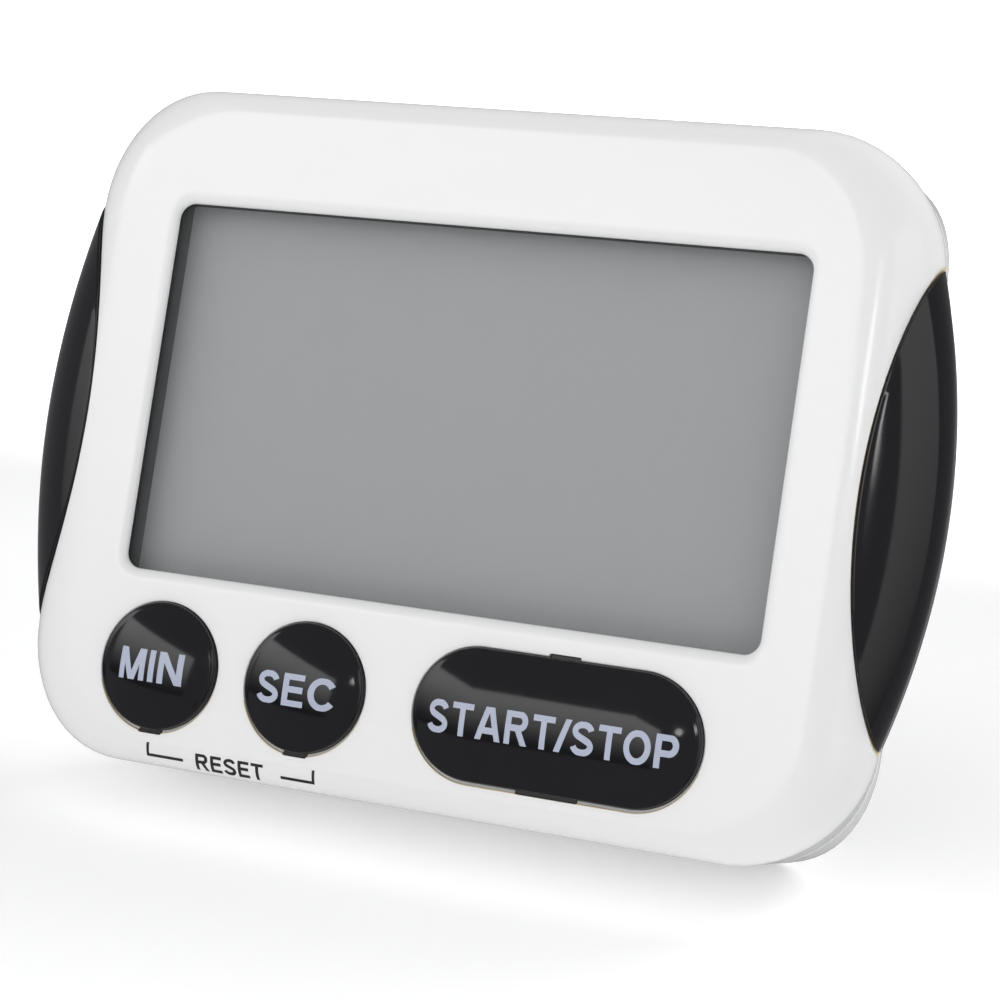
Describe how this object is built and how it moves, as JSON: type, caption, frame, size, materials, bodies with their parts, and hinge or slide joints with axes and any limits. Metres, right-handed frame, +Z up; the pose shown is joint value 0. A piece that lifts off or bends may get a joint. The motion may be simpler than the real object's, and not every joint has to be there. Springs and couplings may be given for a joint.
{
  "type": "lab timer",
  "caption": "Hand-size digital countdown timer with a wide blank display, round and oblong push keys, black side grips, back magnets and a fold-out leg.",
  "frame": {"origin": "middle of the footprint at bench level, with the timer standing on its lower back edge and its open leg", "axes": "+X to the right as the display is read, +Y from the display side to the back, +Z up; the case leans back 22 degrees about X"},
  "size_m": [0.0944, 0.0442, 0.0692],
  "materials": {
    "white": "glossy white moulded ABS",
    "black": "mirror-gloss black moulded plastic",
    "grey": "dark grey inner moulding",
    "clear": "clear acrylic sheet",
    "lcd_glass": "polarised display glass, unlit grey",
    "foil": "brushed reflector film",
    "dark_rubber": "black rubber or resin",
    "cream_rubber": "cream silicone",
    "board_green": "green solder mask",
    "steel": "nickel-plated steel",
    "brass": "thin sheet brass",
    "ceramic": "silvered ceramic",
    "magnet_nickel": "nickel-plated disc magnet",
    "red_insulation": "red wire insulation",
    "blue_sleeve": "plain blue shrink sleeve"
  },
  "bodies": {
    "case": {"front_shell": "white", "rear_shell": "white", "left_grip": "black", "right_grip": "black", "window_lens": "clear", "lcd_front_glass": "lcd_glass", "lcd_rear_glass": "lcd_glass", "lcd_reflector": "foil", "contact_strip": "dark_rubber", "lcd_frame": "grey", "minute_key_pad": "cream_rubber", "second_key_pad": "cream_rubber", "start_stop_key_pad": "cream_rubber", "circuit_board": "board_green", "chip_blob": "dark_rubber", "crystal": "steel", "capacitor": "blue_sleeve", "buzzer_coil": "grey", "driver_transistor": "dark_rubber", "chip_resistor": "dark_rubber", "board_screw_1": "steel", "board_screw_2": "steel", "board_screw_3": "steel", "board_screw_4": "steel", "case_screw_upper_left": "steel", "case_screw_upper_right": "steel", "case_screw_lower_left": "steel", "case_screw_lower_right": "steel", "buzzer_plate": "brass", "buzzer_disc": "ceramic", "buzzer_wire_red": "red_insulation", "buzzer_wire_black": "dark_rubber", "battery_cell": "blue_sleeve", "spring_contact": "steel", "plate_contact": "steel", "battery_wire_black": "dark_rubber", "battery_wire_red": "red_insulation", "left_magnet": "magnet_nickel", "right_magnet": "magnet_nickel"},
    "minute_key": {"minute_button": "black"},
    "second_key": {"second_button": "black"},
    "start_stop_key": {"start_stop_button": "black"},
    "door": {"battery_door": "white"},
    "leg": {"stand_leg": "white"}
  },
  "joints": [
    {"name": "minute_press", "type": "slide", "parent": "case", "child": "minute_key", "axis": [0, 0.9272, -0.3746], "range_m": [0, 0.0008], "stiffness_N_per_m": 900, "springref_m": -0.0006, "deforming": ["minute_key_pad"]},
    {"name": "second_press", "type": "slide", "parent": "case", "child": "second_key", "axis": [0, 0.9272, -0.3746], "range_m": [0, 0.0008], "stiffness_N_per_m": 900, "springref_m": -0.0006, "deforming": ["second_key_pad"]},
    {"name": "start_stop_press", "type": "slide", "parent": "case", "child": "start_stop_key", "axis": [0, 0.9272, -0.3746], "range_m": [0, 0.0008], "stiffness_N_per_m": 900, "springref_m": -0.0006, "deforming": ["start_stop_key_pad"]},
    {"name": "leg_fold", "type": "hinge", "parent": "case", "child": "leg", "pos_m": [0, 0.01233, 0.0398], "axis": [1, 0, 0], "range_deg": [-30, 0]},
    {"name": "door_slide", "type": "slide", "parent": "case", "child": "door", "axis": [0, 0.3746, 0.9272], "range_m": [0, 0.007]}
  ]
}
